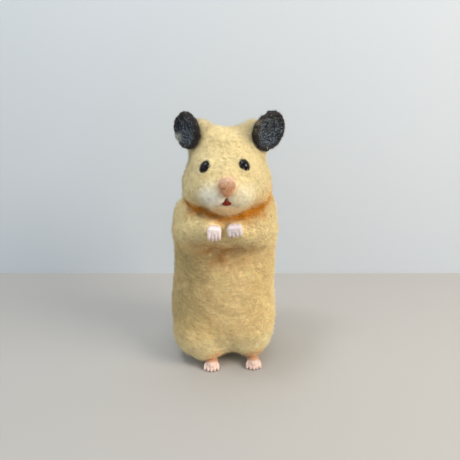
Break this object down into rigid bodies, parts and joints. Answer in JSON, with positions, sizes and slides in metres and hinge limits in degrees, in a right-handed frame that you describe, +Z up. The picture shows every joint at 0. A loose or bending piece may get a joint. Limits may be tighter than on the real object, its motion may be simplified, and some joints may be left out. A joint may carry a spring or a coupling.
{
  "type": "needle-felted hamster figure",
  "caption": "Upright wool felt hamster figure with glass bead eyes, dark felt ears and pale clay hands and feet, both hands raised in front of its chest.",
  "frame": {"origin": "middle of the figure's box, on the floor that its feet and rump rest on", "axes": "+Z up, the face looks along -Y, and the figure's own left side is +X"},
  "size_m": [0.0548, 0.0726, 0.1237],
  "materials": {
    "cream_wool": "matte",
    "charcoal_wool": "matte",
    "pink_wool": "matte",
    "dark_red_wool": "matte",
    "black_bead": "polished",
    "pale_pink_clay": "satin"
  },
  "bodies": {
    "root": {"head": "cream_wool", "neck": "cream_wool", "trunk": "cream_wool", "arm_right": "cream_wool", "arm_left": "cream_wool", "leg_right": "cream_wool", "leg_left": "cream_wool", "tail": "cream_wool", "ear_right": "charcoal_wool", "ear_left": "charcoal_wool", "nose": "pink_wool", "mouth": "dark_red_wool", "eye_right": "black_bead", "eye_left": "black_bead", "hand_right": "pale_pink_clay", "hand_left": "pale_pink_clay", "foot_right": "pale_pink_clay", "foot_left": "pale_pink_clay"}
  },
  "joints": []
}
